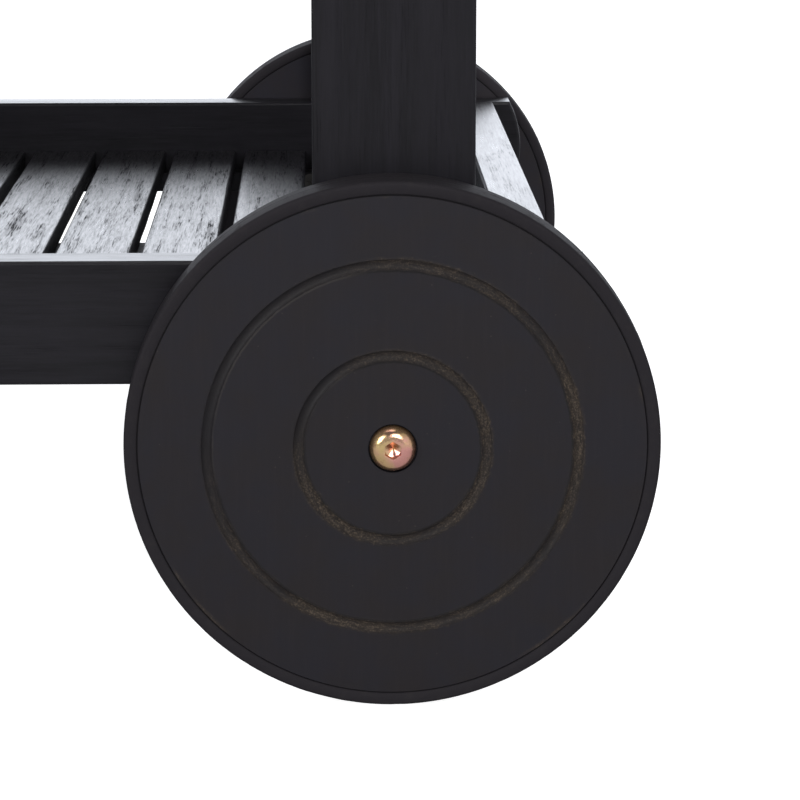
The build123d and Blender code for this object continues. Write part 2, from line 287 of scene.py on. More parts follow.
@dataclass(frozen=True)
class StainedWood:
    """Black stained open-grain hardwood under a thin oil film.

    Attributes:
        grain: which way the fibres run.
        colour: stain colour on the flat of the wood.
        chip: colour of the small pale specks.
        offset: shift of the pattern, so that like boards differ.
        tone: overall lightness of the board.
        pores: how open the grain is.
        roughness: gloss of the flat wood.
        film: weight of the oil film on a face that looks up.
        side_film: share of the film that upright faces keep.
        film_roughness: gloss of the film.
        dry_sides: how much rougher the upright faces are.
        waviness: how far planing left the faces uneven.
        fibre_relief: height of the fibres in metres.
        wave_relief: height of the planing waves in metres, at a waviness of 1.
    """

    FIGURE: ClassVar[Pattern] = Pattern(70.0, 3.0, 0.6, 0.5, along=0.05)
    FIBRE: ClassVar[Pattern] = Pattern(800.0, 4.0, 0.65, along=0.05)
    RIPPLE: ClassVar[Pattern] = Pattern(1250.0, 3.0, 0.62, along=0.08)
    CLOUD: ClassVar[Pattern] = Pattern(75.0, 4.0, 0.62, 0.3, along=0.3)
    RUN: ClassVar[Pattern] = Pattern(190.0, 4.0, 0.62, 0.2, along=0.05)
    DASH: ClassVar[Pattern] = Pattern(1900.0, 3.0, 0.6, along=0.028)
    HOLLOW: ClassVar[Pattern] = Pattern(34.0, 2.0, 0.5, along=0.3)

    grain: Grain
    colour: Colour = (0.0071, 0.0064, 0.0086)
    chip: Colour = (0.050, 0.046, 0.044)
    offset: Colour = (0.0, 0.0, 0.0)
    tone: float = 1.0
    pores: float = 0.35
    roughness: float = 0.42
    film: float = 0.06
    side_film: float = 0.2
    film_roughness: float = 0.26
    dry_sides: float = 0.0
    waviness: float = 0.3
    fibre_relief: float = 0.10 * MM
    wave_relief: float = 2.2 * MM

    def build(self, name: str) -> bpy.types.Material:
        """Make the material.

        Args:
            name: the material's name.

        Returns:
            A procedural wood material on Object coordinates.
        """
        material, graph = new_material(name)
        place = graph.place(self.offset)
        patterns = (self.FIGURE, self.FIBRE, self.RIPPLE, self.CLOUD, self.RUN, self.DASH, self.HOLLOW)
        figure, fibre, ripple, cloud, run, dash, hollow = (
            graph.grown(place, self.grain, pattern) for pattern in patterns
        )
        clusters = graph.band(cloud * 0.35 + run * 0.65, 0.47, 0.62)
        pores = graph.band(dash * 0.62 + ripple * 0.38, 0.48, 0.66) * (0.12 + 0.88 * clusters) * self.pores
        level = graph.part(graph.node("NewGeometry", {}, {}, "True Normal"), "Z")
        oiled = graph.band(level, 0.35, 0.90, self.side_film, 1.0)
        speck = 1.0 - graph.band(graph.cells(place, 380.0), 0.03, 0.055)
        dark, light = (scaled(self.colour, share * self.tone) for share in (0.72, 1.32))
        tint = graph.blend(graph.band(figure, 0.35, 0.68), dark, light)
        tint = graph.blend(graph.band(fibre, 0.38, 0.72) * 0.5, tint, scaled(self.colour, 1.9))
        tint = graph.blend(pores * 0.8, tint, scaled(self.colour, 0.3))
        tint = graph.blend(speck * 0.30, tint, self.chip)
        gloss = self.roughness + (fibre - 0.5) * 0.14 + pores * 0.35 + (cloud - 0.5) * 0.12
        gloss = gloss + (1.0 - oiled) * self.dry_sides
        fine = graph.bump(fibre * 0.30 - pores * 1.1 + figure * 0.45, self.fibre_relief)
        polished = graph.principled(
            {"Base Color": tint, "Roughness": gloss, "Specular IOR Level": 0.20,
             "Coat Weight": (1.0 - pores * 0.9) * oiled * self.film,
             "Coat Roughness": self.film_roughness,
             "Normal": graph.bump(hollow, self.wave_relief * self.waviness, fine)}
        )
        open_grain = graph.principled(
            {"Base Color": tint, "Roughness": 0.85, "Specular IOR Level": 0.05, "Normal": fine}
        )
        streaks = graph.band(ripple, 0.36, 0.66) * 0.17 + graph.band(fibre, 0.42, 0.70) * 0.14
        streaks = streaks * self.pores
        worn_film = graph.band(run, 0.48, 0.72) * (0.42 * self.pores)
        dull = (pores * 0.80 + streaks + worn_film).math("MINIMUM", 1.0)
        output_surface(graph, graph.node("MixShader", {}, {0: dull, 1: polished, 2: open_grain}))
        return material


@dataclass(frozen=True)
class TurnedDisc:
    """Stained wheel disc: even dark face, two turned grooves where the stain is rubbed through.

    Attributes:
        centre: middle of the disc in metres.
        grooves: radii of the grooves in metres.
        groove_half: half the width of a groove in metres.
        kept_and_lit_shares: how far towards stain_and_light_side each groove starts to keep its stain and
            to have the painted highlight on its inner edge, as a share of its radius.
        ragged: how far the edges of a groove stray, in metres.
        colour: stain on the face.
        bluish: the same stain where it lies thicker.
        brown: stain worn thin.
        bare: bare wood on the high grains.
        scratched: colour of a scratch.
        chip: colour of the small pale specks.
        painted_groove_shade: painted shade that darkens a groove.
        pit: colour of the open pores in a groove.
        painted_lip_shade: painted shade on a groove's inner edge where it is rubbed.
        edge: painted highlight on a groove's inner edge where the stain is kept.
        seam_shade: painted shade in the gap beside the tyre.
        stain_and_light_side: direction from the centre, towards the lamps, in which the grooves keep their
            stain and have a painted highlight on their inner edge; elsewhere that edge has painted shade.
        turning: how far the tool marks are stretched round the disc.
        rim_radius: where the rim is rubbed beside the tyre.
        relief: height of the grain in metres.
        painted_fill: painted fill light: how much lighter the face is made, for a wheel that the lamps
            light less.
    """

    FIBRE: ClassVar[Pattern] = Pattern(700.0, 3.0, 0.6, along=0.05)
    CLOUD: ClassVar[Pattern] = Pattern(38.0, 4.0, 0.66)
    TURNED_GRIT: ClassVar[Pattern] = Pattern(1300.0, 4.0, 0.8)
    GRIT: ClassVar[Pattern] = Pattern(1500.0, 2.0, 0.7)
    RINGS: ClassVar[Pattern] = Pattern(700.0, 3.0, 0.7)
    PATCH: ClassVar[Pattern] = Pattern(24.0, 3.0, 0.6)
    RAGGED: ClassVar[Pattern] = Pattern(380.0, 3.0, 0.65)
    SCRATCH: ClassVar[Pattern] = Pattern(230.0, 3.0, 0.65, along=7.0)

    centre: Colour
    grooves: Tuple[float, float]
    groove_half: float = 2.8 * MM
    kept_and_lit_shares: Tuple[float, float] = (0.74, 0.58)
    ragged: float = 2.6 * MM
    colour: Colour = (0.0151, 0.0126, 0.0138)
    bluish: Colour = (0.0137, 0.0126, 0.0166)
    brown: Colour = (0.0350, 0.0270, 0.0205)
    bare: Colour = (0.118, 0.090, 0.067)
    scratched: Colour = (0.040, 0.036, 0.036)
    chip: Colour = (0.060, 0.050, 0.043)
    painted_groove_shade: Colour = (0.0070, 0.0060, 0.0064)
    pit: Colour = (0.0090, 0.0078, 0.0080)
    painted_lip_shade: Colour = (0.0045, 0.004, 0.0042)
    edge: Colour = (0.046, 0.041, 0.038)
    seam_shade: Colour = (0.0030, 0.0027, 0.0030)
    stain_and_light_side: Colour = (-0.82, 0.0, 0.57)
    turning: float = 17.0 * MM
    rim_radius: float = 94.2 * MM
    relief: float = 0.06 * MM
    painted_fill: float = 1.0

    def groove(self, graph: Graph, radius: Sock, stray: Sock, toward: Sock,
               size: float, kept_and_lit_share: float) -> Tuple[Sock, Sock, Sock, Sock]:
        """Masks of one groove, from the distance to its circle.

        Args:
            graph: the material's graph.
            radius: distance from the disc's centre.
            stray: how far the groove's edges stray.
            toward: distance from the centre in the direction of stain_and_light_side.
            size: radius of the groove.
            kept_and_lit_share: share of the radius from which the stain is kept and the inner edge has the
                painted highlight.

        Returns:
            The channel, the painted shade on its inner edge, the painted highlight on its inner edge, and
            where the stain is rubbed.
        """
        half = self.groove_half
        channel = graph.line(radius + stray - size, half * 0.45, half * 1.15)
        inner_lip = graph.line(radius + stray * 0.3 - size + half * 0.85, 0.10 * MM, 0.60 * MM)
        side = 1.0 - graph.band(toward / size, kept_and_lit_share, kept_and_lit_share + 0.25)
        # side marks where the stain is rubbed; there the inner edge gets painted shade, elsewhere a painted
        # highlight
        return channel, inner_lip * side, inner_lip * (1.0 - side), channel * (side * 0.92 + 0.08)

    def build(self, name: str) -> bpy.types.Material:
        """Make the material.

        Args:
            name: the material's name.

        Returns:
            A material whose grooves follow the distance from the disc's centre, rubbed least on the side
            named by stain_and_light_side, where their inner edge has a painted highlight, and elsewhere
            painted shade.
        """
        material, graph = new_material(name)
        place = graph.place_from(self.centre)
        flat = graph.stretch(place, (1.0, 0.0, 1.0))
        radius = graph.vector("LENGTH", flat, output="Value")
        toward = graph.vector("DOT_PRODUCT", flat, self.stain_and_light_side, output="Value")
        heading = graph.vector("NORMALIZE", flat)
        across, up = (graph.part(heading, axis) * self.turning for axis in "XZ")
        turned = graph.node("CombineXYZ", {}, {0: across, 1: radius, 2: up})
        fibre = graph.grown(place, Grain.ALONG_Z, self.FIBRE)
        scratch = graph.grown(place, Grain.ALONG_Z, self.SCRATCH)
        cloud = graph.noise(place, self.CLOUD)
        grit = graph.noise(turned, self.TURNED_GRIT) * 0.55 + graph.noise(place, self.GRIT) * 0.45
        rings = graph.noise(turned, self.RINGS)
        patch = graph.noise(place, self.PATCH)
        stray = (graph.noise(place, self.RAGGED) - 0.5) * self.ragged
        inner, outer = (
            self.groove(graph, radius, stray, toward, size, kept_and_lit_share)
            for size, kept_and_lit_share in zip(self.grooves, self.kept_and_lit_shares)
        )
        channel, painted_lip_shade, edge, rub = (first + second for first, second in zip(inner, outer))
        rim = graph.line(radius + stray * 0.5 - self.rim_radius + 0.3 * MM, 0.30 * MM, 1.1 * MM)
        rim = rim * graph.band(patch - toward / self.rim_radius * 0.06, 0.55, 0.63)
        worn = (rub * graph.band(patch, 0.34, 0.60, 0.22, 1.0) + rim * 0.6).math("MINIMUM", 1.0)
        grains = worn * graph.band(grit + worn * 0.02, 0.51, 0.62)
        pits = channel * graph.band(grit, 0.475, 0.40)
        # painted shade: the disc's outer edge beside the tyre, where the gap falls in shade
        seam_shade = graph.band(radius, self.rim_radius, self.rim_radius + 0.35 * MM)
        speck = 1.0 - graph.band(graph.cells(place, 150.0), 0.028, 0.05)
        # painted fill light: both stains are made lighter by this wheel's factor
        plain, blue = scaled(self.colour, self.painted_fill), scaled(self.bluish, self.painted_fill)
        tint = graph.blend(graph.band(cloud, 0.3, 0.7), plain, blue)
        tint = graph.blend(graph.band(fibre, 0.45, 0.75) * 0.20, tint, scaled(self.colour, 1.5))
        tint = graph.blend(graph.band(scratch, 0.70, 0.76) * 0.40, tint, self.scratched)
        tint = graph.blend(speck * 0.45, tint, self.chip)
        # painted shade: the grooves are darkened
        tint = graph.blend(channel * 0.54, tint, self.painted_groove_shade)
        tint = graph.blend(worn * graph.band(rings, 0.30, 0.62, 0.38, 0.88), tint, self.brown)
        tint = graph.blend(grains * 0.54, tint, self.bare)
        tint = graph.blend(pits * 0.55, tint, self.pit)
        # painted shade: a dark line on a groove's inner edge where it is rubbed
        tint = graph.blend(painted_lip_shade * 0.60, tint, self.painted_lip_shade)
        # painted highlight: a pale line on a groove's inner edge where the stain is kept
        tint = graph.blend(edge * graph.band(patch, 0.30, 0.55) * 0.55, tint, self.edge)
        # painted shade: the gap beside the tyre is darkened to near black
        tint = graph.blend(seam_shade * 0.90, tint, self.seam_shade)
        height = fibre * 0.20 + scratch * 0.30 + channel * grit * 2.6
        shader = graph.principled(
            {"Base Color": tint, "Roughness": 0.50 + (cloud - 0.5) * 0.10 + worn * 0.30,
             "Specular IOR Level": 0.20, "Normal": graph.bump(height, self.relief)}
        )
        output_surface(graph, shader)
        return material


@dataclass(frozen=True)
class TyreRubber:
    """Matt black rubber with faint mould texture and scuffs.

    Attributes:
        centre: middle of the tyre in metres.
        colour: clean rubber.
        dust: colour of the scuffs.
        relief: height of the texture in metres.
        painted_fill: painted fill light: how much lighter the rubber is made, for a wheel that the lamps
            light less.
    """

    FINE: ClassVar[Pattern] = Pattern(1600.0, 3.0, 0.6)
    SCUFF: ClassVar[Pattern] = Pattern(240.0, 4.0, 0.65, along=0.25)

    centre: Colour
    colour: Colour = (0.0204, 0.0184, 0.0210)
    dust: Colour = (0.034, 0.031, 0.031)
    relief: float = 0.06 * MM
    painted_fill: float = 1.0

    def build(self, name: str) -> bpy.types.Material:
        """Make the rubber material, with scuffs drawn out across the tread."""
        material, graph = new_material(name)
        place = graph.place_from(self.centre)
        fine = graph.noise(place, self.FINE)
        scuff = graph.grown(place, Grain.ALONG_Y, self.SCUFF)
        dusty = graph.band(scuff, 0.50, 0.75)
        # painted fill light: the rubber is made lighter by this wheel's factor
        tint = graph.blend(dusty * 0.30, scaled(self.colour, self.painted_fill), self.dust)
        shader = graph.principled(
            {"Base Color": tint, "Roughness": 0.66 + dusty * 0.16, "Specular IOR Level": 0.06,
             "Normal": graph.bump(fine * 0.6 + scuff * 0.8, self.relief)}
        )
        output_surface(graph, shader)
        return material


@dataclass(frozen=True)
class PassivatedZinc:
    """Plated steel with a thin passivation colour that drifts from gold to rose.

    Attributes:
        colours: the plate's colours, from one drift to the other.
        roughness: gloss of the plate.
        centre: middle of the bolts in metres.
        drift: how fast the colour drifts along X, Y and Z, per metre.
        brown: colour of the tarnish, and of the painted shade towards the rim.
        tarnish_and_shade_radii: distances from the bolt's axis between which the brown sets in, tarnish
            with painted shade of the curved rim.
        ragged: how far the edge of that brown band strays, in metres.
        relief: height of the pitting in metres.
    """

    MOTTLE: ClassVar[Pattern] = Pattern(150.0, 2.0, 0.5, 0.6)
    FINE: ClassVar[Pattern] = Pattern(2600.0, 3.0, 0.6)
    STAIN: ClassVar[Pattern] = Pattern(420.0, 3.0, 0.7)
    # drifts at which the three colours lie
    STOPS: ClassVar[Tuple[float, float, float]] = (0.34, 0.50, 0.64)

    colours: Tuple[Colour, Colour, Colour] = ((0.70, 0.50, 0.23), (0.74, 0.45, 0.28), (0.75, 0.36, 0.31))
    roughness: float = 0.16
    centre: Colour = (0.0, 0.0, 0.0)
    drift: Colour = (17.0, 0.0, -11.0)
    brown: Colour = (0.48, 0.27, 0.15)
    tarnish_and_shade_radii: Tuple[float, float] = (5.8 * MM, 8.4 * MM)
    ragged: float = 3.0 * MM
    relief: float = 0.03 * MM

    def build(self, name: str) -> bpy.types.Material:
        """Make the metal, with brown towards the rim, tarnish and painted shade of the curved edge, and
        slight pitting.
        """
        material, graph = new_material(name)
        place = graph.place_from(self.centre)
        lean = graph.vector("DOT_PRODUCT", place, self.drift, output="Value")
        fine = graph.noise(place, self.FINE)
        stain = graph.noise(place, self.STAIN)
        stops = list(zip(self.STOPS, self.colours)) + [(1.0, self.colours[-1])]
        tint = graph.node("ValToRGB", {"stops": stops}, {"Fac": graph.noise(place, self.MOTTLE) + lean})
        off_axis = graph.vector("LENGTH", graph.stretch(place, (1.0, 0.0, 1.0)), output="Value")
        # brown towards the rim: tarnish, with painted shade where the curved edge reflects its dark
        # surroundings
        rim = graph.band(off_axis + (stain - 0.5) * self.ragged, *self.tarnish_and_shade_radii)
        tint = graph.blend(rim * 0.75, tint, self.brown)
        tint = graph.blend(graph.band(stain, 0.56, 0.70) * 0.35, tint, self.brown)
        gloss = self.roughness + (fine - 0.5) * 0.18 + rim * 0.12
        shader = graph.principled(
            {"Base Color": tint, "Metallic": 0.93, "Roughness": gloss,
             "Normal": graph.bump(fine, self.relief)}
        )
        output_surface(graph, shader)
        return material


@dataclass(frozen=True)
class MouldedNylon:
    """Black moulded nylon with a fine eroded texture.

    Attributes:
        colour: the plastic.
        worn: the plastic on the high spots of the texture.
        relief: height of the texture in metres.
    """

    FINE: ClassVar[Pattern] = Pattern(2200.0, 2.0, 0.6)

    colour: Colour = (0.02, 0.02, 0.021)
    worn: Colour = (0.032, 0.032, 0.033)
    relief: float = 0.04 * MM

    def build(self, name: str) -> bpy.types.Material:
        """Make the plastic."""
        material, graph = new_material(name)
        fine = graph.noise(graph.node("TexCoord", {}, {}, "Object"), self.FINE)
        shader = graph.principled(
            {"Base Color": graph.blend(fine * 0.5, self.colour, self.worn), "Roughness": 0.42 + fine * 0.2,
             "Normal": graph.bump(fine, self.relief)}
        )
        output_surface(graph, shader)
        return material


# ---- meshes -------------------------------------------------------------------------------------


def grid_faces(rows: int, columns: int, wrap_rows: bool = False) -> np.ndarray:
    """Quads of a grid whose columns close on themselves.

    Args:
        rows: number of points along the first parameter.
        columns: number of points round the closed second parameter.
        wrap_rows: True if the rows close on themselves too.

    Returns:
        Array of quads, four point numbers each.
    """
    row_count = rows if wrap_rows else rows - 1
    i, j = np.meshgrid(np.arange(row_count), np.arange(columns), indexing="ij")
    i_next, j_next = (i + 1) % rows, (j + 1) % columns
    corners = [i * columns + j, i * columns + j_next, i_next * columns + j_next, i_next * columns + j]
    return np.stack([c.ravel() for c in corners], axis=1)


def mesh_object(name: str, points: np.ndarray, quads: np.ndarray,
                extra: Sequence[Sequence[int]] = ()) -> bpy.types.Object:
    """Smooth mesh object at the origin.

    Args:
        name: the piece's name.
        points: one row of X, Y, Z per point, in metres.
        quads: four point numbers per face.
        extra: further faces of any size, such as end caps.

    Returns:
        The new object, linked to the scene.
    """
    mesh = bpy.data.meshes.new(name)
    mesh.from_pydata(points.tolist(), [], quads.tolist() + [list(f) for f in extra])
    mesh.polygons.foreach_set("use_smooth", np.ones(len(mesh.polygons), bool))
    mesh.update()
    piece = bpy.data.objects.new(name, mesh)
    bpy.context.scene.collection.objects.link(piece)
    return piece


def dress(piece: bpy.types.Object, material: bpy.types.Material) -> None:
    """Give a piece one material in all its slots."""
    if not piece.data.materials:
        piece.data.materials.append(material)
    for index in range(len(piece.material_slots)):
        piece.material_slots[index].material = material


def wobble(t: np.ndarray, seed: int, waves: int = 5) -> np.ndarray:
    """Smooth irregular curve between -1 and 1: a sum of a few sines of seeded phase and pitch.

    Args:
        t: parameter, about 0 to 1.
        seed: number that makes the curve repeatable.
        waves: how many sines are added.

    Returns:
        The curve's values at t.
    """
    rng = np.random.default_rng(seed)
    turns = rng.uniform(0.7, 7.0, waves)
    phases = rng.uniform(0, 2 * np.pi, waves)
    sizes = rng.uniform(0.4, 1.0, waves)
    total = (sizes[:, None] * np.sin(2 * np.pi * turns[:, None] * t[None, :] + phases[:, None])).sum(0)
    return total / sizes.sum()


# ---- shelves ------------------------------------------------------------------------------------


@dataclass
class Shelf:
    """One slatted shelf in its rail frame.

    Attributes:
        name: prefix of the shelf's nodes.
        slat_count: how many slats it has.
        arris: radius of a slat's long edges.
        arris_drift: how far that radius varies, as a share of it.
        cup: how far a slat's top may hollow or crown.
        ease: length over which a slat's ends are eased.
        tone_spread: how much lighter or darker a slat may be than the others.
        tone_step: angle from one slat's tone to the next, a golden one so that none repeat.
        stations: sections along a slat, apart from those at its ends.
        corner_points: points on each rounded corner of a section.
        flat_points: points between two corners.
    """

    # where the first sections lie, as shares of a slat's length, so that its eased end is round
    END_STATIONS: ClassVar[Tuple[float, ...]] = (0.0, 0.0008, 0.002)

    name: str
    slat_count: int = 15
    arris: float = 1.3 * MM
    arris_drift: float = 0.35
    cup: float = 0.12 * MM
    ease: float = 1.0 * MM
    tone_spread: float = 0.18
    tone_step: float = 2.399
    stations: int = 72
    corner_points: int = 7
    flat_points: int = 7

    def section(self, width: float, height: float, radius: np.ndarray) -> Tuple[np.ndarray, np.ndarray]:
        """Rounded rectangle at each station: four quarter circles of the station's radius joined by
        straight flats, as offsets from the middle of the board.

        Args:
            width: board width.
            height: board thickness.
            radius: corner radius at each station and corner, as stations by 4.

        Returns:
            Offsets across and up, as stations by points.
        """
        quarter = np.linspace(0, np.pi / 2, self.corner_points)
        share = np.linspace(0, 1, self.flat_points + 2)[1:-1]
        corners: List[Tuple[np.ndarray, np.ndarray]] = []
        places = ((1, -1, -0.5), (1, 1, 0.0), (-1, 1, 0.5), (-1, -1, 1.0))
        for corner, (sx, sz, start) in enumerate(places):
            angle = start * np.pi + quarter
            r = radius[:, corner : corner + 1]
            across = sx * (width / 2 - r) + r * np.cos(angle)
            up = sz * (height / 2 - r) + r * np.sin(angle)
            corners.append((across, up))
        xs, zs = [], []
        for here, following in zip(corners, corners[1:] + corners[:1]):
            for offsets, start_arc, end_arc in zip((xs, zs), here, following):
                first, last = start_arc[:, -1:], end_arc[:, :1]
                offsets.extend((start_arc, first + (last - first) * share))
        return np.concatenate(xs, 1), np.concatenate(zs, 1)

    def slat(self, index: int, material: bpy.types.Material) -> bpy.types.Object:
        """One slat: the rounded section carried along the board, its corners softened unevenly by
        sanding, its top hollowed or crowned as a parabola, and its ends eased as a quarter circle.

        Args:
            index: the slat's number, from 1.
            material: its wood.

        Returns:
            The new piece, which stands for the CAD slat of that number.
        """
        node = f"{self.name}_slat_{index:02d}"
        low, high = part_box(node)
        middle = (low + high) / 2
        width, length, height = high - low
        seed = index * 7 + (1000 if self.name == "upper" else 0)
        ends = np.array(self.END_STATIONS)
        t = np.concatenate([ends, np.linspace(0.004, 0.996, self.stations), 1 - ends[::-1]])
        drifts = [self.arris_drift * wobble(t, seed + corner) for corner in range(4)]
        radius = np.stack([self.arris * (1 + drift) for drift in drifts], axis=1)
        x, z = self.section(width, height, radius)
        rng = np.random.default_rng(seed + 50)
        cup = self.cup * rng.uniform(0.2, 1.0)
        dip = cup * (1 - (2 * x / width) ** 2) if rng.random() < 0.6 else cup * (2 * x / width) ** 2
        z = z - dip * np.clip(z / (height / 2), 0, 1)
        end = np.minimum(t, 1 - t) * length
        arc = self.ease**2 - np.clip(self.ease - end, 0, self.ease) ** 2
        shrink = self.ease - np.sqrt(np.clip(arc, 0, None))
        x = x * (1 - 2 * shrink / width)[:, None]
        z = z * (1 - 2 * shrink / height)[:, None]
        y = np.broadcast_to(((t - 0.5) * length)[:, None], x.shape)
        points = np.stack([x + middle.x, y + middle.y, z + middle.z], axis=2).reshape(-1, 3)
        rows, columns = x.shape
        caps = [list(range(columns)), list(range(rows * columns - 1, (rows - 1) * columns - 1, -1))]
        quads = grid_faces(rows, columns)[:, ::-1]
        piece = mesh_object(f"{self.name}_slat_board_{index:02d}", points, quads, caps)
        dress(piece, material)
        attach(piece, "frame")
        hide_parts(node)
        return piece

    def build(self) -> None:
        """Make the slats and finish the rails, ledgers and batten."""
        for index in range(1, self.slat_count + 1):
            tone = 1.0 + self.tone_spread * math.sin(index * self.tone_step)
            finish = StainedWood(Grain.ALONG_Y, offset=(0.173 * index, 0.311 * index, 0.07), tone=tone,
                                 pores=1.0, roughness=0.30, film=0.64, film_roughness=0.23, dry_sides=0.45,
                                 side_film=0.0, waviness=0.9)
            piece = self.slat(index, finish.build(f"{self.name}_slat_wood_{index:02d}"))
            log.info("%s: %d faces", piece.name, len(piece.data.polygons))
        for number, (side, end) in enumerate((("left", "front"), ("right", "back"))):
            rail = StainedWood(Grain.ALONG_X, offset=(0.4 * number, 0.21, 0.13 * number), pores=0.30,
                               roughness=0.36, film=0.60)
            material = rail.build(f"{self.name}_rail_wood_{side}")
            dress(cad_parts[f"{self.name}_rail_{side}"], material)
            end_rail = StainedWood(Grain.ALONG_Y, offset=(0.31, 0.4 * number, 0.19), pores=0.3,
                                   roughness=0.30, film=0.58, film_roughness=0.23)
            material = end_rail.build(f"{self.name}_end_wood_{end}")
            dress(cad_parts[f"{self.name}_end_rail_{end}"], material)
        strip = StainedWood(Grain.ALONG_X, offset=(0.9, 0.3, 0.1), roughness=0.5)
        material = strip.build(f"{self.name}_strip_wood")
        for node in (f"{self.name}_ledgers", f"{self.name}_batten"):
            dress(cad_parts[node], material)
        log.info("%s shelf finished", self.name)


# ---- wheels -------------------------------------------------------------------------------------


@dataclass
class Wheel:
    """One wheel: CAD disc and bush, with a moulded rubber band made here.

    Attributes:
        side: "left" or "right".
        painted_fill: painted fill light: how much lighter this wheel is made, because the lamps light it
            less.
        grooves: radii of the turned grooves.
        shoulder: drop of the tread's rounded shoulder.
        shoulder_width: width of that shoulder.
        crown: rise of the tread at its middle.
        bead: bevel where the band meets the disc.
        grip: how far the band reaches into the disc.
        seam_line: height of the mould line.
        nick: depth of the nicks where the flash was trimmed.
        nick_width: how far from the shoulder the nicks reach.
        nick_level: mean draw above which a nick starts.
        gap_level: mean draw above which the mould line starts to show a gap.
        gap_gain: how fast the gap opens above that.
        ridge_width: half the width of the mould line.
        turns: sections round the band.
    """

    # each band's own seed, so that the two are nicked and gapped differently
    SEEDS: ClassVar[Dict[str, int]] = {"left": 41, "right": 17}

    side: str
    painted_fill: float = 1.0
    grooves: Tuple[float, float] = (35.0 * MM, 69.0 * MM)
    shoulder: float = 1.4 * MM
    shoulder_width: float = 1.8 * MM
    crown: float = 0.25 * MM
    bead: float = 0.55 * MM
    grip: float = 0.15 * MM
    seam_line: float = 0.12 * MM
    nick: float = 1.1 * MM
    nick_width: float = 0.7 * MM
    nick_level: float = 0.52
    gap_level: float = 0.56
    gap_gain: float = 10.0
    ridge_width: float = 0.3 * MM
    turns: int = 720

    def tyre_profile(self, inner: float, outer: float, width: float) -> np.ndarray:
        """Closed outline of the band in radius and width: quarter-ellipse shoulders, a tread crowned
        as a parabola, a low mould line round its middle, and small bevels at the bead.

        Args:
            inner: radius against the disc.
            outer: tread radius.
            width: band width.

        Returns:
            Points as radius and offset from the middle of the width.
        """
        quarter = np.linspace(0, np.pi / 2, 11)
        half = width / 2
        flat = half - self.shoulder_width
        edge = outer - self.seam_line - self.crown
        face = np.array([[inner, half - self.bead], [inner + self.bead, half]])
        shoulder = np.stack([edge - self.shoulder + self.shoulder * np.sin(quarter),
                             flat + self.shoulder_width * np.cos(quarter)], axis=1)
        y = np.linspace(flat, 0.5 * MM, 8)[1:]
        tread = np.stack([edge + self.crown * (1 - (y / flat) ** 2), y], axis=1)
        mould_line = np.array([[outer, 0.2 * MM]])
        upper = np.concatenate([face, shoulder, tread, mould_line])
        lower = upper[::-1] * np.array([1.0, -1.0])
        return np.concatenate([upper, lower])

    def smoothed_draws(self, rng: np.random.Generator, span: int) -> np.ndarray:
        """Random numbers round the band, each the mean of as many draws as the span."""
        return np.convolve(rng.random(self.turns + span - 1), np.ones(span) / span, "valid")

    def tyre(self, material: bpy.types.Material) -> bpy.types.Object:
        """The rubber band: the outline turned about the axle, its shoulders left slightly ragged where
        the mould flash was trimmed, as bell curves over the width.

        Args:
            material: its rubber.

        Returns:
            The new piece, which stands for the CAD tyre.
        """
        node = f"tyre_{self.side}"
        low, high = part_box(node)
        centre = (low + high) / 2
        width = high.y - low.y
        disc_low, disc_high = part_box(f"wheel_disc_{self.side}")
        inner = (disc_high.x - disc_low.x) / 2 - self.grip
        profile = self.tyre_profile(inner, (high.z - low.z) / 2, width)
        angle = np.linspace(0, 2 * np.pi, self.turns, endpoint=False)
        rng = np.random.default_rng(self.SEEDS[self.side])
        nicks = np.clip(self.smoothed_draws(rng, 5) - self.nick_level, 0, None) * self.nick
        gaps = np.clip((self.smoothed_draws(rng, 7) - self.gap_level) * self.gap_gain, 0, 1)
        radius, offset = profile[:, 0][:, None], profile[:, 1][:, None]
        from_shoulder = np.abs(offset) - width / 2 + self.shoulder * 0.4
        outside = np.clip((radius - inner) / (high.z / 2 - inner), 0, 1) ** 2
        edge = np.exp(-((from_shoulder / self.nick_width) ** 2)) * outside
        ridge = np.exp(-((offset / self.ridge_width) ** 2)) * outside
        r = radius - edge * nicks[None, :] - ridge * self.seam_line * (1 - gaps[None, :])
        points = np.stack([centre.x + r * np.cos(angle), centre.y + np.broadcast_to(offset, r.shape),
                           centre.z + r * np.sin(angle)], axis=2).reshape(-1, 3)
        quads = grid_faces(len(profile), self.turns, wrap_rows=True)
        piece = mesh_object(f"tyre_band_{self.side}", points, quads)
        dress(piece, material)
        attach(piece, f"wheel_{self.side}")
        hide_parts(node)
        return piece

    def build(self) -> None:
        """Make the tyre and finish the disc and bush."""
        low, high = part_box(f"wheel_disc_{self.side}")
        centre = tuple((low + high) / 2)
        piece = self.tyre(TyreRubber(centre, painted_fill=self.painted_fill).build(f"tyre_rubber_{self.side}"))
        log.info("%s: %d faces", piece.name, len(piece.data.polygons))
        dress(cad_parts[f"wheel_disc_{self.side}"],
              TurnedDisc(centre, self.grooves, painted_fill=self.painted_fill).build(f"disc_stain_{self.side}"))
        dress(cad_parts[f"hub_bush_{self.side}"], MouldedNylon().build(f"bush_nylon_{self.side}"))


# ---- posts, handle and hardware -----------------------------------------------------------------


@dataclass
class Posts:
    """The four flat posts and the push bar."""

    def build(self) -> None:
        """Finish each post with its own piece of the grain, and the bar with fibres along it."""
        for number, foot in enumerate(("wheel", "leg")):
            for turn, side in enumerate(("left", "right")):
                finish = StainedWood(Grain.ALONG_Z, offset=(0.2 + 0.37 * number, 0.5 * turn, 0.3),
                                     roughness=0.45)
                dress(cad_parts[f"{foot}_post_{side}"], finish.build(f"{foot}_post_wood_{side}"))
        bar = StainedWood(Grain.ALONG_Y, offset=(0.7, 0.1, 0.9), roughness=0.36, film=0.3)
        dress(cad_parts["handle_bar"], bar.build("handle_wood"))
        log.info("posts and bar finished")


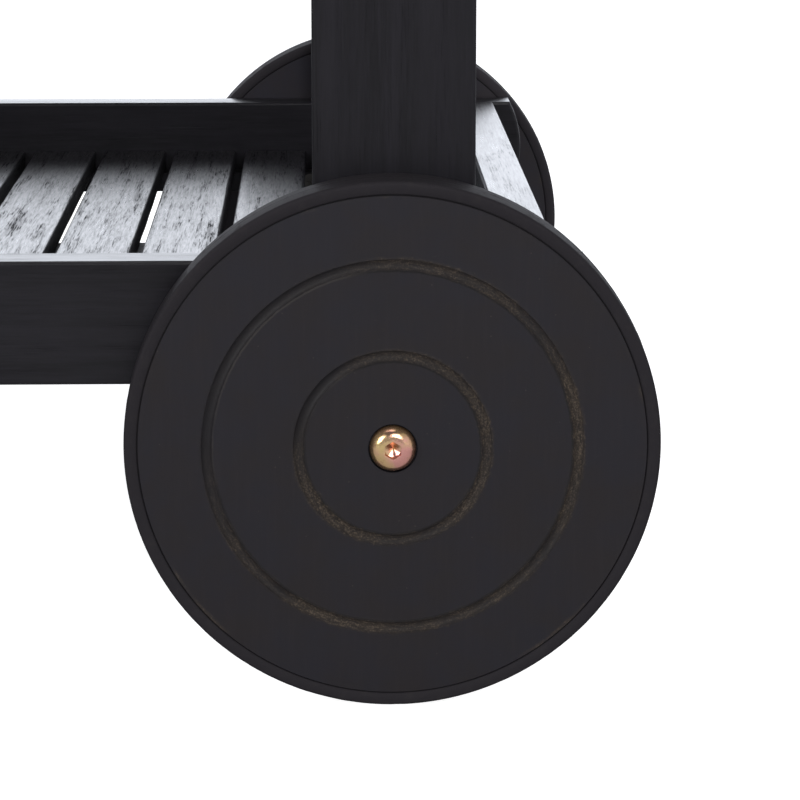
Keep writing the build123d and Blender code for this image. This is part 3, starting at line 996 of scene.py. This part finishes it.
@dataclass
class Hardware:
    """Bolts, nuts, washers, screws and floor glides."""

    def build(self) -> None:
        """Finish the metal and nylon nodes."""
        low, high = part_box("wheel_disc_right")
        middle = (low + high) / 2
        gold = PassivatedZinc(centre=(middle.x, 0.0, middle.z)).build("yellow_zinc")
        black = PassivatedZinc(((0.10, 0.10, 0.105), (0.13, 0.13, 0.135), (0.09, 0.088, 0.09)), 0.38,
                               drift=(0.0, 0.0, 0.0), brown=(0.085, 0.078, 0.07)).build("black_zinc")
        for node in ("axle_bolts", "axle_washers", "axle_nuts"):
            dress(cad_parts[node], gold)
        for node in ("connector_bolts", "barrel_nuts", "wood_screws"):
            dress(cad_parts[node], black)
        dress(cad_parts["leg_glides"], MouldedNylon().build("glide_nylon"))
        log.info("hardware finished")


# ---- studio -------------------------------------------------------------------------------------


@dataclass(frozen=True)
class Softbox:
    """One square area light.

    Attributes:
        name: its name.
        offset: how far it stands from the hub along X and Y, in metres.
        height: its height above the floor in metres.
        size: its side in metres.
        power: its power in watts.
    """

    name: str
    offset: Tuple[float, float]
    height: float
    size: float
    power: float


@dataclass
class Studio:
    """Pale floor, soft surround, four softboxes and the camera.

    Attributes:
        floor_size: side of the square floor in metres.
        floor_colour: paper of the floor.
        floor_glow: white that the camera sees on top of the lit paper.
        sky: colour of the surround's light.
        sky_high: strength of the surround high up.
        sky_low: what it gains low down.
        sky_behind: what it gains low down behind the cart.
        softboxes: the four area lights.
        distance: how far the camera stands from the wheel's outer face.
        aside: how far it stands towards the handle from the axle.
        height: its height above the floor.
        pitch: how far it looks down, in radians.
        yaw: how far it looks towards the wheel end, in radians.
        lens: focal length in millimetres.
        sensor: width of the sensor in millimetres.
    """

    floor_size: float = 60.0
    floor_colour: Colour = (0.62, 0.62, 0.63)
    floor_glow: float = 0.93
    sky: Colour = (0.925, 0.965, 1.045)
    sky_high: float = 0.10
    sky_low: float = 0.31
    sky_behind: float = 1.9
    softboxes: Tuple[Softbox, ...] = (
        Softbox("softbox_left", (-2.2, -2.0), 1.46, 1.5, 50.0),
        Softbox("softbox_front", (0.6, -2.4), 1.7, 1.3, 36.0),
        Softbox("softbox_above", (-0.2, 0.1), 1.9, 1.0, 7.5),
        Softbox("softbox_right", (3.0, -1.6), 0.95, 5.6, 44.0),
    )
    distance: float = 1.1095
    aside: float = 0.0252
    height: float = 0.3648
    pitch: float = 0.2185
    yaw: float = 0.0251
    lens: float = 138.73
    sensor: float = 36.0

    def floor(self) -> None:
        """Flat pale floor. To the eye it glows, so that shadows on it stay faint; the cart is lit by
        the plain paper only."""
        half = self.floor_size / 2
        points = np.array([[-half, -half, 0.0], [half, -half, 0.0], [half, half, 0.0], [-half, half, 0.0]])
        piece = mesh_object("floor", points, np.array([[0, 1, 2, 3]]))
        material, graph = new_material("pale_floor")
        seen = graph.node("LightPath", {}, {}, "Is Camera Ray")
        paper = graph.principled(
            {"Base Color": rgba(self.floor_colour), "Roughness": 0.9, "Specular IOR Level": 0.1}
        )
        glow = graph.node("Emission", {}, {"Color": rgba(WHITE), "Strength": self.floor_glow})
        lit = graph.node("AddShader", {}, {0: paper, 1: glow})
        output_surface(graph, graph.node("MixShader", {}, {0: seen, 1: paper, 2: lit}))
        dress(piece, material)

    def surround(self) -> None:
        """Soft white surround, brightest low down behind the cart, plain white to the eye."""
        world = bpy.data.worlds.new("surround")
        bpy.context.scene.world = world
        world.use_nodes = True
        graph = Graph(world.node_tree)
        direction = graph.node("TexCoord", {}, {}, "Generated")
        low = graph.band(graph.part(direction, "Z"), 0.25, 0.70, 1.0, 0.0)
        behind = graph.band(graph.part(direction, "Y"), 0.0, 0.85)
        strength = self.sky_high + low * self.sky_low + low * behind * self.sky_behind
        seen = graph.node("LightPath", {}, {}, "Is Camera Ray")
        light = graph.node("Background", {}, {"Color": rgba(self.sky), "Strength": strength})
        plain = graph.node("Background", {}, {"Color": rgba(WHITE), "Strength": 1.0})
        mixed = graph.node("MixShader", {}, {0: seen, 1: light, 2: plain})
        graph.node("OutputWorld", {}, {"Surface": mixed})

    def softbox(self, box: Softbox, target: Vector) -> None:
        """Make an area light that is aimed at a point."""
        lamp = bpy.data.lights.new(box.name, "AREA")
        lamp.shape = "SQUARE"
        lamp.size = box.size
        lamp.energy = box.power
        place = Vector((target.x + box.offset[0], target.y + box.offset[1], box.height))
        holder = bpy.data.objects.new(box.name, lamp)
        holder.location = place
        holder.rotation_euler = (target - place).to_track_quat("-Z", "Y").to_euler()
        bpy.context.scene.collection.objects.link(holder)

    def camera(self) -> None:
        """Long lens a little above the wheel, looking slightly down."""
        low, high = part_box("wheel_disc_right")
        eye = bpy.data.cameras.new("camera")
        eye.lens = self.lens
        eye.sensor_width = self.sensor
        eye.clip_start = 0.05
        eye.clip_end = 100.0
        holder = bpy.data.objects.new("camera", eye)
        holder.location = ((low.x + high.x) / 2 - self.aside, low.y - self.distance, self.height)
        holder.rotation_euler = (math.pi / 2 - self.pitch, 0.0, -self.yaw)
        bpy.context.scene.collection.objects.link(holder)
        bpy.context.scene.camera = holder

    def build(self) -> None:
        """Make the floor, lights and camera."""
        bpy.context.scene.view_settings.view_transform = "Standard"
        self.floor()
        self.surround()
        low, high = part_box("wheel_disc_right")
        hub = Vector(((low.x + high.x) / 2, low.y, (low.z + high.z) / 2))
        for box in self.softboxes:
            self.softbox(box, hub)
        self.camera()
        log.info("studio ready")


def main() -> None:
    """Build every assembly in order."""
    for name in ("lower", "upper"):
        Shelf(name).build()
    # the left wheel is made 1.7 times lighter: painted fill light, since the lamps light it less than the
    # right one
    for side, painted_fill in (("left", 1.7), ("right", 1.0)):
        Wheel(side, painted_fill).build()
    Posts().build()
    Hardware().build()
    Studio().build()


if __name__ == "__main__":
    main()
